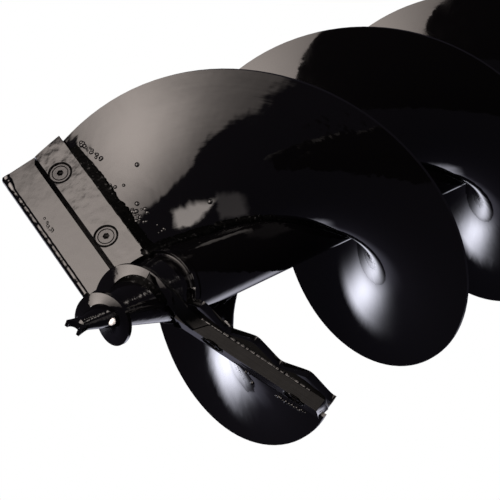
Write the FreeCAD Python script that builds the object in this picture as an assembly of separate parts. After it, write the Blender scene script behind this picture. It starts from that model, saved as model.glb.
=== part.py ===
import FreeCAD, Part
import math
import os

from FreeCAD import Placement, Rotation, Vector

# Soil auger: a steel tube with two welded flights, a spiral pilot point, two bolted
# cutting blades under clamp bars, and a drive socket with its cross pin and clip.
# Millimetres. The auger lies on its side: +X runs along the tube from the pilot tip to
# the drive end, +Z is up, and the origin is the centre of the drive socket's mouth.

doc = FreeCAD.newDocument("soil_auger")

DRIVING_SIZES = {
    # whole tool
    "overall_length": 800,
    "auger_diameter": 300,
    "joint_gap": 0.05,
    # flights: the crossing is where flight A passes the top of the tube
    "flight_pitch": 420,
    "flight_thickness": 3,
    "flight_crossing": 601,
    "flight_end": 100,
    "flight_fade_angle": 60,
    "flight_seat_depth": 3,
    # centre tube
    "tube_diameter": 56,
    "tube_wall": 5,
    "tube_front": 687.5,
    "tube_back": 88,
    "tube_weld_bevel": 2.5,
    # pilot point and its small flight
    "fishtail_width": 13.6,
    "fishtail_thickness": 5,
    "fishtail_roll": 115,
    "pilot_tip_radius": 4.2,
    "pilot_tip_start": 8,
    "pilot_base_radius": 24.7,
    "pilot_base_start": 99.5,
    "pilot_spigot_length": 45,
    "pilot_flight_station": 777,
    "pilot_flight_angle": -100,
    "pilot_flight_lead_in": 0.14,
    "pilot_flight_turns": 1.53,
    "pilot_flight_pitch": 24,
    "pilot_flight_pitch_growth": 9,
    "pilot_flight_rim_radius": 17,
    "pilot_flight_rim_growth": 8,
    "pilot_flight_rim_limit": 28.5,
    "pilot_flight_bulge": 6,
    "pilot_flight_bulge_turn": 0.79,
    "pilot_flight_bulge_width": 0.13,
    "pilot_flight_thickness": 3.5,
    # how a blade stands on the tube
    "blade_hub": 721.5,
    "blade_roll": -58.7,
    "blade_sweep": 15.8,
    "blade_lean": 46.7,
    "blade_offset": 2.1,
    # clamp bars
    "bar_width": 25,
    "bar_thickness": 10,
    "bar_bevel": 3.3,
    "straight_bar_sweep": 155,
    "toothed_bar_sweep": 148,
    # cutting blades
    "blade_thickness": 5,
    "blade_reach": 26.5,
    "blade_grind": 4.5,
    "blade_inner_end": 34,
    "straight_blade_end": 168,
    "toothed_blade_end": 160,
    "tooth_spacing": 45,
    "tooth_height": 31,
    "first_tooth": 45,
    "tooth_mid_reach": 31,
    # blade screws and their low nuts
    "screw_diameter": 8,
    "screw_length": 20,
    "screw_hole_diameter": 8.6,
    "screw_head_diameter": 17,
    "countersink_diameter": 18.8,
    "screw_setback": 8.4,
    "screw_outer_station": 135,
    "screw_inner_station": 63,
    "hex_socket_flats": 5,
    "hex_socket_depth": 4,
    "nut_flats": 13,
    "nut_height": 4,
    # drive coupler
    "socket_diameter": 20.2,
    "socket_depth": 66,
    "socket_mouth_length": 30,
    "socket_groove_width": 4,
    "socket_groove_diameter": 23,
    "neck_diameter": 34,
    "coupler_shoulder": 79.5,
    "coupler_spigot_length": 30,
    # cross pin and clip
    "pin_station": 42,
    "pin_diameter": 8,
    "pin_hole_diameter": 8.15,
    "pin_head_diameter": 14,
    "pin_head_height": 3.5,
    "pin_tail": 11,
    "clip_drop": 6,
    "clip_wire_diameter": 2.5,
    "clip_hole_diameter": 3,
    "clip_leg_tip": 10,
    "clip_loop_station": 15,
    "clip_loop_diameter": 8.4,
}

sheet = doc.addObject("Spreadsheet::Sheet", "sizes")
for row, (alias, value) in enumerate(DRIVING_SIZES.items(), start=1):
    sheet.set(f"A{row}", alias)
    sheet.set(f"B{row}", str(value))
    sheet.setAlias(f"B{row}", alias)
doc.recompute()

X_AXIS = Vector(1, 0, 0)
Y_AXIS = Vector(0, 1, 0)
Z_AXIS = Vector(0, 0, 1)


def size(alias):
    """A driving dimension, read from the sheet."""
    return float(sheet.get(alias))


TUBE_RADIUS = size("tube_diameter") / 2
AUGER_RADIUS = size("auger_diameter") / 2
GAP = size("joint_gap")
BLADE_TURNS = (0, 180)


def new_body(label, position=Vector(), rotation=Rotation()):
    """An empty PartDesign body standing at a placement."""
    body = doc.addObject("PartDesign::Body", label)
    body.Label = label
    body.Placement = Placement(position, rotation)
    return body


def origin_plane(body, role):
    """One of the body's own origin planes, such as XY_Plane."""
    return next(item for item in body.Origin.OriginFeatures if item.Role == role)


def new_sketch(body, name, role, rise=0.0):
    """A sketch on one of the body's planes, raised along the plane's normal."""
    sketch = body.newObject("Sketcher::SketchObject", name)
    sketch.AttachmentSupport = [(origin_plane(body, role), "")]
    sketch.MapMode = "FlatFace"
    sketch.AttachmentOffset = Placement(Vector(0, 0, rise), Rotation())
    return sketch


def draw_outline(sketch, corners):
    """Close straight lines through the corners."""
    points = [Vector(x, y, 0) for x, y in corners]
    for start, end in zip(points, points[1:] + points[:1]):
        sketch.addGeometry(Part.LineSegment(start, end), False)


def draw_circle(sketch, radius, x=0.0, y=0.0):
    """A full circle in the sketch, returned as its geometry number."""
    return sketch.addGeometry(Part.Circle(Vector(x, y, 0), Z_AXIS, radius), False)


def revolve(body, sketch, name):
    """Turn a half profile about the body's X axis."""
    feature = body.newObject("PartDesign::Revolution", name)
    feature.Profile = sketch
    feature.ReferenceAxis = (origin_plane(body, "X_Axis"), [""])
    feature.Angle = 360
    return feature


def pad(body, sketch, name, length, midplane=False):
    """Raise a closed outline by a length."""
    feature = body.newObject("PartDesign::Pad", name)
    feature.Profile = sketch
    feature.Length = length
    feature.Midplane = midplane
    return feature


def pocket_through(body, sketch, name):
    """Cut a closed outline right through, both ways."""
    feature = body.newObject("PartDesign::Pocket", name)
    feature.Profile = sketch
    feature.Type = "ThroughAll"
    feature.Midplane = True
    return feature


def finished(label, shape):
    """A sub-part whose shape is made in code, in place, from the sheet's sizes."""
    item = doc.addObject("Part::Feature", label)
    item.Label = label
    item.Shape = shape
    item.Placement = Placement()
    return item


# ---------------------------------------------------------------- centre tube


def centre_tube():
    """Round tube, bevelled at the back for the coupler's weld."""
    front = Vector(-size("tube_front"), 0, 0)
    length = size("tube_front") - size("tube_back")
    bore_radius = TUBE_RADIUS - size("tube_wall")
    bevel = size("tube_weld_bevel")
    body = new_body("centre_tube", front)
    profile = new_sketch(body, "tube_profile", "XZ_Plane")
    draw_outline(profile, [
        (0, bore_radius),
        (0, TUBE_RADIUS),
        (length - bevel, TUBE_RADIUS),
        (length, TUBE_RADIUS - bevel),
        (length, bore_radius),
    ])
    revolve(body, profile, "tube_wall_turned")
    return body


# ---------------------------------------------------------------- drive coupler


def drive_coupler():
    """Turned coupler: spigot inside the tube, shoulder, neck and blind drive socket."""
    spigot_radius = TUBE_RADIUS - size("tube_wall") - GAP
    bevel = size("tube_weld_bevel")
    back = -size("tube_back")
    shoulder = -size("coupler_shoulder")
    neck_radius = size("neck_diameter") / 2
    socket_radius = size("socket_diameter") / 2
    groove_radius = size("socket_groove_diameter") / 2
    groove_front = -size("socket_mouth_length")
    groove_back = groove_front - size("socket_groove_width")
    socket_end = -size("socket_depth")
    drill_half_angle = math.radians(59)
    drill_point = socket_end - socket_radius / math.tan(drill_half_angle)
    rim_chamfer = 1.5
    body = new_body("drive_coupler")
    profile = new_sketch(body, "coupler_profile", "XZ_Plane")
    draw_outline(profile, [
        (back - size("coupler_spigot_length"), 0),
        (back - size("coupler_spigot_length"), spigot_radius),
        (back + GAP, spigot_radius),
        (back + GAP, TUBE_RADIUS - bevel),
        (back + bevel, TUBE_RADIUS),
        (shoulder - rim_chamfer, TUBE_RADIUS),
        (shoulder, TUBE_RADIUS - rim_chamfer),
        (shoulder, neck_radius),
        (-rim_chamfer, neck_radius),
        (0, neck_radius - rim_chamfer),
        (0, socket_radius),
        (groove_front, socket_radius),
        (groove_front, groove_radius),
        (groove_back, groove_radius),
        (groove_back, socket_radius),
        (socket_end, socket_radius),
        (drill_point, 0),
    ])
    revolve(body, profile, "coupler_turned")
    cross_hole = new_sketch(body, "pin_hole_outline", "XY_Plane")
    draw_circle(cross_hole, size("pin_hole_diameter") / 2, -size("pin_station"))
    pocket_through(body, cross_hole, "pin_hole")
    return body


def coupler_weld():
    """Weld ring that fills the V between the tube and the coupler."""
    bevel = size("tube_weld_bevel")
    crown = 1.2
    body = new_body("coupler_weld", Vector(-size("tube_back"), 0, 0))
    profile = new_sketch(body, "coupler_weld_profile", "XZ_Plane")
    left = Vector(-bevel + GAP, TUBE_RADIUS + GAP, 0)
    right = Vector(bevel - GAP, TUBE_RADIUS + GAP, 0)
    root_left = Vector(0, TUBE_RADIUS - bevel + 3 * GAP, 0)
    root_right = Vector(2 * GAP, TUBE_RADIUS - bevel + 3 * GAP, 0)
    top = Vector(0, TUBE_RADIUS + crown, 0)
    profile.addGeometry(Part.Arc(left, top, right), False)
    profile.addGeometry(Part.LineSegment(right, root_right), False)
    profile.addGeometry(Part.LineSegment(root_right, root_left), False)
    profile.addGeometry(Part.LineSegment(root_left, left), False)
    revolve(body, profile, "coupler_weld_ring")
    return body


# ---------------------------------------------------------------- pilot point


def pilot_radius(x):
    """Radius of the pilot cone at a row position, from its tip to its base."""
    tip_x = -size("overall_length") + size("pilot_tip_start")
    base_x = -size("overall_length") + size("pilot_base_start")
    share = (x - tip_x) / (base_x - tip_x)
    share = min(max(share, 0.0), 1.0)
    return size("pilot_tip_radius") + share * (size("pilot_base_radius") - size("pilot_tip_radius"))


def pilot_point():
    """Forged cone with a two-pronged fishtail tip and a spigot inside the tube."""
    tip = Vector(-size("overall_length"), 0, 0)
    cone_start = size("pilot_tip_start")
    base_start = size("pilot_base_start")
    face = size("overall_length") - size("tube_front") - GAP
    spigot_radius = TUBE_RADIUS - size("tube_wall") - GAP
    spigot_end = face + size("pilot_spigot_length")
    nose = 2.0
    body = new_body("pilot_point", tip, Rotation(X_AXIS, size("fishtail_roll")))
    cone = new_sketch(body, "cone_profile", "XZ_Plane")
    draw_outline(cone, [
        (cone_start - nose, 0),
        (cone_start - nose, size("pilot_tip_radius") - nose),
        (cone_start, size("pilot_tip_radius")),
        (base_start, size("pilot_base_radius")),
        (face, size("pilot_base_radius")),
        (face, spigot_radius),
        (spigot_end, spigot_radius),
        (spigot_end, 0),
    ])
    revolve(body, cone, "pilot_cone")

    half_width = size("fishtail_width") / 2
    waist = 0.72 * half_width
    notch_half = 0.62 * half_width
    notch_depth = 0.8 * half_width
    root = 3 * cone_start
    fishtail = new_sketch(body, "fishtail_outline", "XZ_Plane")
    for side in (1, -1):
        flank_root = Vector(root, side * waist, 0)
        flank_mid = Vector(root / 2, side * waist, 0)
        prong = Vector(0, side * half_width, 0)
        fishtail.addGeometry(Part.Arc(flank_root, flank_mid, prong), False)
        fishtail.addGeometry(Part.LineSegment(prong, Vector(0, side * notch_half, 0)), False)
    notch_top = Vector(0, notch_half, 0)
    notch_low = Vector(0, -notch_half, 0)
    fishtail.addGeometry(Part.Arc(notch_top, Vector(notch_depth, 0, 0), notch_low), False)
    fishtail.addGeometry(Part.LineSegment(Vector(root, waist, 0), Vector(root, -waist, 0)), False)
    pad(body, fishtail, "fishtail_blade", size("fishtail_thickness"), midplane=True)
    return body


def pilot_weld():
    """Weld ring in the corner between the pilot's base and the front of the tube."""
    leg = TUBE_RADIUS - size("pilot_base_radius") - 4 * GAP
    inner = size("pilot_base_radius") + GAP
    body = new_body("pilot_weld", Vector(-size("tube_front") - GAP, 0, 0))
    profile = new_sketch(body, "pilot_weld_profile", "XZ_Plane")
    toe = Vector(-leg, inner, 0)
    corner = Vector(0, inner, 0)
    crest = Vector(0, inner + leg, 0)
    crown_share = 0.7
    bulge = Vector(-crown_share * leg, inner + crown_share * leg, 0)
    profile.addGeometry(Part.LineSegment(toe, corner), False)
    profile.addGeometry(Part.LineSegment(corner, crest), False)
    profile.addGeometry(Part.Arc(crest, bulge, toe), False)
    revolve(body, profile, "pilot_weld_ring")
    return body


# ---------------------------------------------------------------- spiral plates


def around(x, radius, angle):
    """Point at a row position, radius and angle; angles run clockwise from the top, tip view."""
    turn = math.radians(angle)
    return Vector(x, -radius * math.sin(turn), radius * math.cos(turn))


def skin(grid):
    """Smooth face through a grid of points."""
    surface = Part.BSplineSurface()
    surface.interpolate(grid)
    return surface


def border(surface):
    """The four boundary curves of a smooth face, in a fixed order."""
    first_u, last_u, first_v, last_v = surface.bounds()
    curves = [
        surface.uIso(first_u),
        surface.uIso(last_u),
        surface.vIso(first_v),
        surface.vIso(last_v),
    ]
    return [curve.toShape() for curve in curves]


def spiral_plate(front_grid, rear_grid):
    """Closed solid between a front and a rear face that share their grid layout."""
    front = skin(front_grid)
    rear = skin(rear_grid)
    faces = [front.toShape(), rear.toShape()]
    for front_edge, rear_edge in zip(border(front), border(rear)):
        faces.append(Part.makeRuledSurface(front_edge, rear_edge))
    shell = Part.makeShell(faces)
    shell.sewShape()
    solid = Part.makeSolid(shell)
    if solid.Volume < 0:
        solid.reverse()
    return solid


def slant(pitch, radius):
    """Axial thickness over true thickness for a spiral plate at a radius."""
    return math.hypot(1.0, pitch / (2 * math.pi * radius))


def blade_placement(turn):
    """Blade frame: X outward along the blade, Y towards its cutting edge, Z towards the tip."""
    roll = Rotation(X_AXIS, size("blade_roll") + turn)
    sweep = Rotation(Y_AXIS, size("blade_sweep") - 90)
    lean = Rotation(X_AXIS, size("blade_lean"))
    hub = Vector(-size("blade_hub"), 0, 0)
    offset = roll.multVec(Vector(0, size("blade_offset"), 0))
    return Placement(hub + offset, roll * sweep * lean)


def seat_point(turn, depth, radius):
    """Where a line along the clamp bar's trailing side reaches a radius from the axis."""
    frame = blade_placement(turn)
    foot = frame.multVec(Vector(0, -size("bar_width") - GAP, -depth))
    outward = frame.Rotation.multVec(X_AXIS)
    quadratic = outward.y ** 2 + outward.z ** 2
    linear = foot.y * outward.y + foot.z * outward.z
    constant = foot.y ** 2 + foot.z ** 2 - radius ** 2
    travel = (math.sqrt(linear ** 2 - quadratic * constant) - linear) / quadratic
    return foot + outward * travel


def flight_face(turn, depth, thickness):
    """Grid of one face of a flight, from the clamp bar's trailing side to the drive end."""
    pitch = size("flight_pitch")
    crossing = -size("flight_crossing")
    fade_angle = size("flight_fade_angle")
    end_angle = turn + 360 * (-size("flight_end") - crossing) / pitch
    root_radius = TUBE_RADIUS + GAP
    columns = 9
    steps = 72
    grid = []
    for column in range(columns):
        radius = root_radius + (AUGER_RADIUS - root_radius) * column / (columns - 1)
        rear_shift = thickness * slant(pitch, radius)
        start = seat_point(turn, depth, radius)
        start_angle = math.degrees(math.atan2(-start.y, start.z))
        seat_x = crossing + pitch * (start_angle - turn) / 360 + rear_shift
        line = []
        for step in range(steps + 1):
            angle = start_angle + (end_angle - start_angle) * step / steps
            fade = max(0.0, 1 - (angle - start_angle) / fade_angle)
            blend = fade * fade * (3 - 2 * fade)
            x = crossing + pitch * (angle - turn) / 360 + rear_shift
            line.append(around(x + (start.x - seat_x) * blend, radius, angle))
        grid.append(line)
    return grid


def flight(label, turn):
    """One formed flight, its front edge drawn forward to lie along the clamp bar."""
    depth = size("flight_seat_depth")
    thickness = size("flight_thickness")
    front = flight_face(turn, depth, 0.0)
    rear = flight_face(turn, depth + thickness, thickness)
    return finished(label, spiral_plate(front, rear))


def pilot_flight_face(thickness):
    """Grid of one face of the narrow spiral plate that climbs the pilot cone.

    The plate is formed by hand and stands out furthest under the cone, late in its first turn.
    """
    lead_in = size("pilot_flight_lead_in")
    turns = size("pilot_flight_turns")
    start_share = 0.15
    growth_turns = 0.15
    root_gap = 4 * GAP
    columns = 5
    steps = 64
    grid = []
    for column in range(columns):
        line = []
        for step in range(steps + 1):
            turn = -lead_in + (turns + lead_in) * step / steps
            x = -size("pilot_flight_station") + size("pilot_flight_pitch") * turn
            x += size("pilot_flight_pitch_growth") * turn ** 2
            full_rim = size("pilot_flight_rim_radius") + size("pilot_flight_rim_growth") * turn ** 2
            full_rim = min(full_rim, size("pilot_flight_rim_limit"))
            off_bulge = (turn - size("pilot_flight_bulge_turn")) / size("pilot_flight_bulge_width")
            full_rim += size("pilot_flight_bulge") * math.exp(-off_bulge ** 2)
            grown = min(1.0, start_share + (1 - start_share) * (turn + lead_in) / growth_turns)
            cone = pilot_radius(x)
            rim = cone + (full_rim - cone) * math.sin(grown * math.pi / 2)
            pitch_here = size("pilot_flight_pitch") + 2 * size("pilot_flight_pitch_growth") * turn
            side_x = x + thickness * slant(pitch_here, rim)
            root = pilot_radius(side_x) + root_gap
            radius = root + (rim - root) * column / (columns - 1)
            line.append(around(side_x, radius, size("pilot_flight_angle") + 360 * turn))
        grid.append(line)
    return grid


def pilot_flight():
    """Spiral plate on the pilot cone, the same hand as the flights and widening as it climbs."""
    front = pilot_flight_face(0.0)
    rear = pilot_flight_face(size("pilot_flight_thickness"))
    return finished("pilot_flight", spiral_plate(front, rear))


# ---------------------------------------------------------------- blades and bars


def screw_stations():
    """Positions of a blade's two screws in the blade frame."""
    along = (size("screw_inner_station"), size("screw_outer_station"))
    return [Vector(station, -size("screw_setback"), 0) for station in along]


def swept_cylinder(name, radius):
    """Cylinder along the whole auger, for trimming the bars and blades."""
    cylinder = doc.addObject("Part::Cylinder", name)
    cylinder.Radius = radius
    cylinder.Height = size("overall_length")
    cylinder.Placement = Placement(Vector(), Rotation(Y_AXIS, -90))
    return cylinder


def bar_blank(name, turn):
    """Square bar with a bevelled leading side and two countersunk screw holes."""
    thickness = size("bar_thickness")
    inner_end = 5
    frame = blade_placement(turn)
    body = new_body(name, frame.Base, frame.Rotation)
    section = new_sketch(body, name + "_section", "YZ_Plane", inner_end)
    draw_outline(section, [
        (-size("bar_width"), -thickness),
        (size("bar_bevel"), -thickness),
        (0, 0),
        (-size("bar_width"), 0),
    ])
    pad(body, section, name + "_length", size("straight_blade_end") - inner_end)
    holes = new_sketch(body, name + "_hole_centres", "XY_Plane")
    for station in screw_stations():
        draw_circle(holes, size("screw_hole_diameter") / 2, station.x, station.y)
    doc.recompute()
    drilled = body.newObject("PartDesign::Hole", name + "_countersinks")
    drilled.Profile = holes
    drilled.DepthType = "ThroughAll"
    drilled.Threaded = False
    drilled.Diameter = size("screw_hole_diameter")
    drilled.HoleCutType = "Countersink"
    drilled.HoleCutDiameter = size("countersink_diameter")
    drilled.HoleCutCountersinkAngle = 90
    return body


def clamp_bar(label, turn, keepout, sweep_radius):
    """Clamp bar coped to the tube and rounded at its outer end."""
    blank = bar_blank(label + "_blank", turn)
    rounded = doc.addObject("Part::Common", label + "_rounded")
    rounded.Base = blank
    rounded.Tool = swept_cylinder(label + "_sweep", sweep_radius)
    bar = doc.addObject("Part::Cut", label)
    bar.Base = rounded
    bar.Tool = keepout
    bar.Label = label
    return bar


def blade_edge_reach(along, toothed):
    """How far the cutting edge stands ahead of the bar's top edge, at a station."""
    if not toothed:
        return size("blade_reach") + size("blade_grind")
    corner_sharpness = 0.95
    phase = 2 * math.pi * (along - size("first_tooth")) / size("tooth_spacing")
    rounded_zigzag = math.asin(corner_sharpness * math.cos(phase)) / math.asin(corner_sharpness)
    return size("tooth_mid_reach") + size("tooth_height") / 2 * rounded_zigzag


def blade_outline(sketch, toothed, setback):
    """Outline of one face of a blade; setback draws the front edge in by the grind."""
    inner = size("blade_inner_end")
    outer = size("toothed_blade_end") if toothed else size("straight_blade_end")
    trailing_inset = 1.0
    trailing = trailing_inset - size("bar_width")
    steps = 50 if toothed else 1
    front = []
    for step in range(steps + 1):
        along = inner + (outer - inner) * step / steps
        front.append(Vector(along, blade_edge_reach(along, toothed) - setback, 0))
    back_inner = Vector(inner, trailing, 0)
    back_outer = Vector(outer, trailing, 0)
    if toothed:
        edge = Part.BSplineCurve()
        edge.interpolate(front)
        sketch.addGeometry(edge, False)
    else:
        sketch.addGeometry(Part.LineSegment(front[0], front[-1]), False)
    sketch.addGeometry(Part.LineSegment(front[-1], back_outer), False)
    sketch.addGeometry(Part.LineSegment(back_outer, back_inner), False)
    sketch.addGeometry(Part.LineSegment(back_inner, front[0]), False)


def cutting_blade(label, turn, toothed, keepout):
    """Flat blade with a ground edge, under its clamp bar and coped to the tube."""
    top = -size("bar_thickness") - GAP
    bottom = top - size("blade_thickness")
    frame = blade_placement(turn)
    body = new_body(label + "_blank", frame.Base, frame.Rotation)
    upper = new_sketch(body, label + "_top_face", "XY_Plane", top)
    blade_outline(upper, toothed, size("blade_grind"))
    lower = new_sketch(body, label + "_back_face", "XY_Plane", bottom)
    blade_outline(lower, toothed, 0.0)
    doc.recompute()
    plate = body.newObject("PartDesign::AdditiveLoft", label + "_ground_plate")
    plate.Profile = upper
    plate.Sections = [lower]
    plate.Ruled = True
    holes = new_sketch(body, label + "_holes", "XY_Plane", top)
    for station in screw_stations():
        draw_circle(holes, size("screw_hole_diameter") / 2, station.x, station.y)
    pocket_through(body, holes, label + "_screw_holes")
    blade = doc.addObject("Part::Cut", label)
    blade.Base = body
    blade.Tool = keepout
    blade.Label = label
    return blade


# ---------------------------------------------------------------- blade fasteners


def at_every_screw(shape):
    """Copies of a fastener at all the blade screws, as one compound."""
    copies = []
    for turn in BLADE_TURNS:
        for station in screw_stations():
            copy = shape.copy()
            copy.Placement = blade_placement(turn) * Placement(station, Rotation())
            copies.append(copy)
    return Part.makeCompound(copies)


def hexagon(flats, height, base_z):
    """Upright hexagonal prism."""
    corner_radius = flats / math.sqrt(3)
    corners = []
    for index in range(7):
        turn = math.radians(60 * index)
        corners.append(Vector(corner_radius * math.cos(turn), corner_radius * math.sin(turn), base_z))
    return Part.Face(Part.makePolygon(corners)).extrude(Vector(0, 0, height))


def blade_screws():
    """Countersunk hexagon-socket screws, heads level with the bar's top."""
    shank_radius = size("screw_diameter") / 2
    head_radius = size("screw_head_diameter") / 2
    head_rim = 0.5
    sunk = 0.3
    cone_depth = head_radius - shank_radius
    rim = Part.makeCylinder(head_radius, head_rim, Vector(0, 0, -sunk - head_rim))
    cone_base = Vector(0, 0, -sunk - head_rim - cone_depth)
    cone = Part.makeCone(shank_radius, head_radius, cone_depth, cone_base)
    shank = Part.makeCylinder(shank_radius, size("screw_length"), Vector(0, 0, -size("screw_length")))
    socket = hexagon(size("hex_socket_flats"), size("hex_socket_depth"), -size("hex_socket_depth"))
    above_head = Part.makeCylinder(head_radius, size("screw_length"), Vector(0, 0, -sunk))
    screw = shank.cut(above_head).fuse([rim, cone]).cut(socket).removeSplitter()
    return finished("blade_screws", at_every_screw(screw))


def blade_nuts():
    """Low hexagon nuts with chamfered corners, drawn up against the backs of the blades."""
    top = -size("bar_thickness") - size("blade_thickness") - 2 * GAP
    height = size("nut_height")
    flats = size("nut_flats")
    corner_radius = flats / math.sqrt(3)
    chamfer = corner_radius - flats / 2
    prism = hexagon(flats, height, top - height)
    barrel_base = Vector(0, 0, top - height)
    lower = Part.makeCone(flats / 2, corner_radius, chamfer, barrel_base)
    middle = Part.makeCylinder(corner_radius, height - chamfer, barrel_base + Vector(0, 0, chamfer))
    bore = Part.makeCylinder(size("screw_diameter") / 2 + GAP, height, barrel_base)
    nut = prism.common(lower.fuse(middle)).cut(bore)
    return finished("blade_nuts", at_every_screw(nut))


# ---------------------------------------------------------------- cross pin and clip


def drive_pin():
    """Headed cross pin, standing upright through the coupler's neck."""
    neck_radius = size("neck_diameter") / 2
    pin_radius = size("pin_diameter") / 2
    head_radius = size("pin_head_diameter") / 2
    head_height = size("pin_head_height")
    shank = 2 * neck_radius + size("pin_tail")
    tip_chamfer = 1.0
    head_round = 1.0
    seat = Vector(-size("pin_station"), 0, neck_radius + GAP)
    body = new_body("drive_pin", seat, Rotation(Y_AXIS, 90))
    profile = new_sketch(body, "pin_profile", "XZ_Plane")
    draw_outline(profile, [
        (-head_height, 0),
        (-head_height, head_radius - head_round),
        (-head_height + head_round, head_radius),
        (0, head_radius),
        (0, pin_radius),
        (shank - tip_chamfer, pin_radius),
        (shank, pin_radius - tip_chamfer),
        (shank, 0),
    ])
    revolve(body, profile, "pin_turned")
    clip_hole = new_sketch(body, "clip_hole_outline", "XZ_Plane")
    draw_circle(clip_hole, size("clip_hole_diameter") / 2, 2 * neck_radius + size("clip_drop"))
    pocket_through(body, clip_hole, "clip_hole")
    return body


def hairpin_clip():
    """Spring wire clip: straight leg through the pin, bowed leg around its side."""
    wire_radius = size("clip_wire_diameter") / 2
    pin_radius = size("pin_diameter") / 2
    level = -size("neck_diameter") / 2 - size("clip_drop") + GAP
    leg_tip = -size("clip_leg_tip")
    loop_station = size("clip_loop_station")
    loop_width = size("clip_loop_diameter")
    waist = pin_radius + wire_radius + 3 * GAP
    body = new_body("hairpin_clip", Vector(-size("pin_station"), 0, level), Rotation(Z_AXIS, 90))

    leg_end = Vector(loop_station, 0, 0)
    loop_end = Vector(loop_station, loop_width, 0)
    loop_far = Vector(loop_station + loop_width / 2, loop_width / 2, 0)
    path = new_sketch(body, "wire_path", "XY_Plane")
    path.addGeometry(Part.LineSegment(Vector(leg_tip, 0, 0), leg_end), False)
    path.addGeometry(Part.Arc(leg_end, loop_far, loop_end), False)

    # The bowed leg is two equal arcs that meet halfway down to the waist beside the pin.
    half_run = loop_station / 2
    half_drop = (loop_width - waist) / 2
    bow_radius = (half_run ** 2 + half_drop ** 2) / (2 * half_drop)
    shoulder_centre = Vector(loop_station, loop_width - bow_radius, 0)
    waist_centre = Vector(0, waist + bow_radius, 0)
    meeting = Vector(half_run, waist + half_drop, 0)
    bend = math.asin(half_run / bow_radius)
    flare = math.asin(leg_tip / bow_radius)
    shoulder_mid = shoulder_centre + bow_radius * Vector(-math.sin(bend / 2), math.cos(bend / 2), 0)
    waist_point = Vector(0, waist, 0)
    flare_end = waist_centre + bow_radius * Vector(math.sin(flare), -math.cos(flare), 0)
    path.addGeometry(Part.Arc(loop_end, shoulder_mid, meeting), False)
    path.addGeometry(Part.Arc(meeting, waist_point, flare_end), False)

    profile = new_sketch(body, "wire_section", "YZ_Plane", leg_tip)
    draw_circle(profile, wire_radius)
    doc.recompute()
    wire = body.newObject("PartDesign::AdditivePipe", "wire")
    wire.Profile = profile
    wire.Spine = (path, ["Edge1", "Edge2", "Edge3", "Edge4"])
    wire.Mode = "Frenet"
    wire.Transition = "Transformed"
    return body


# ---------------------------------------------------------------- assembly


def build_all():
    """Every separate piece of the auger."""
    keepout = swept_cylinder("tube_keepout", TUBE_RADIUS + GAP)
    return [
        centre_tube(),
        flight("flight_a", BLADE_TURNS[0]),
        flight("flight_b", BLADE_TURNS[1]),
        pilot_point(),
        pilot_flight(),
        pilot_weld(),
        clamp_bar("clamp_bar_a", BLADE_TURNS[0], keepout, size("straight_bar_sweep")),
        clamp_bar("clamp_bar_b", BLADE_TURNS[1], keepout, size("toothed_bar_sweep")),
        cutting_blade("straight_blade", BLADE_TURNS[0], False, keepout),
        cutting_blade("toothed_blade", BLADE_TURNS[1], True, keepout),
        blade_screws(),
        blade_nuts(),
        drive_coupler(),
        coupler_weld(),
        drive_pin(),
        hairpin_clip(),
    ]


nodes = build_all()
doc.recompute()

for item in doc.Objects:
    if "Invalid" in item.State or "Error" in item.State:
        raise RuntimeError(f"{item.Label} did not build: {item.State}")
for node in nodes:
    if node.Shape.isNull() or not node.Shape.isValid():
        raise RuntimeError(f"{node.Label} has no valid shape")

os.makedirs("parts", exist_ok=True)
for node in nodes:
    node.Shape.exportStep(os.path.join("parts", node.Label + ".step"))
    box = node.Shape.BoundBox
    print(f"{node.Label:16s} {node.Shape.Volume:10.1f} mm3, x {box.XMin:7.1f} to {box.XMax:7.1f}")
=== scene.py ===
import math
import random

import bpy
from mathutils import Matrix, Vector, noise
from mathutils.bvhtree import BVHTree


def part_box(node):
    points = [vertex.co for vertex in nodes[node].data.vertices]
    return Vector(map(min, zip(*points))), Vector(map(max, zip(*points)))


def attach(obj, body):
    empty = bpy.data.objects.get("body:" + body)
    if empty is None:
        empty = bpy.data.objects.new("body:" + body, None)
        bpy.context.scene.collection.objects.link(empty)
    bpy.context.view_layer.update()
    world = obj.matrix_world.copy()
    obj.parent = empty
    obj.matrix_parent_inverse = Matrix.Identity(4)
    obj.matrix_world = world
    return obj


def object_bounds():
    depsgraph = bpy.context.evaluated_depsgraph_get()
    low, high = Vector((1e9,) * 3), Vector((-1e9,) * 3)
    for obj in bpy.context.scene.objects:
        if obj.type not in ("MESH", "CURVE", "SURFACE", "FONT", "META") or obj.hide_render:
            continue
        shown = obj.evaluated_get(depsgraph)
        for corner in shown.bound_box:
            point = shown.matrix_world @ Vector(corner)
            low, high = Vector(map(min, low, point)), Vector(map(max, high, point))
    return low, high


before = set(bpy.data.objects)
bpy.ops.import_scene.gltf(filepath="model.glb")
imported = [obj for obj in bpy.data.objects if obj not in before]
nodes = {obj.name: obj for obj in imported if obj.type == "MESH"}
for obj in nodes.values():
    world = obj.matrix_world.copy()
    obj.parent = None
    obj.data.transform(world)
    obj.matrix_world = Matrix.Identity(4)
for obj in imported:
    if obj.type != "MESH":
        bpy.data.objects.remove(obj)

# The look of a black enamelled soil auger bit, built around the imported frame.
# The row frame has +X from the pilot tip to the drive end and +Z up. Lengths are in metres.

MM = 0.001
cad_low, cad_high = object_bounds()

# ---------------------------------------------------------------- sizes read from the frame

BIT = "auger_bit"
TUBE_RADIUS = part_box("centre_tube")[1].z
TUBE_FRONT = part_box("centre_tube")[0].x
FLIGHT_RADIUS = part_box("flight_a")[1].z
FLIGHT_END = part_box("flight_a")[1].x
PILOT_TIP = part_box("pilot_point")[0].x
BAR_WIDTH = 25 * MM
BAR_THICKNESS = 10 * MM
SCREW_STATIONS = (63, 135)
SCREW_SETBACK = 8.4
FLIGHT_PITCH = 2.8 * FLIGHT_RADIUS
FLIGHT_CROSSING = -4.007 * FLIGHT_RADIUS


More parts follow.
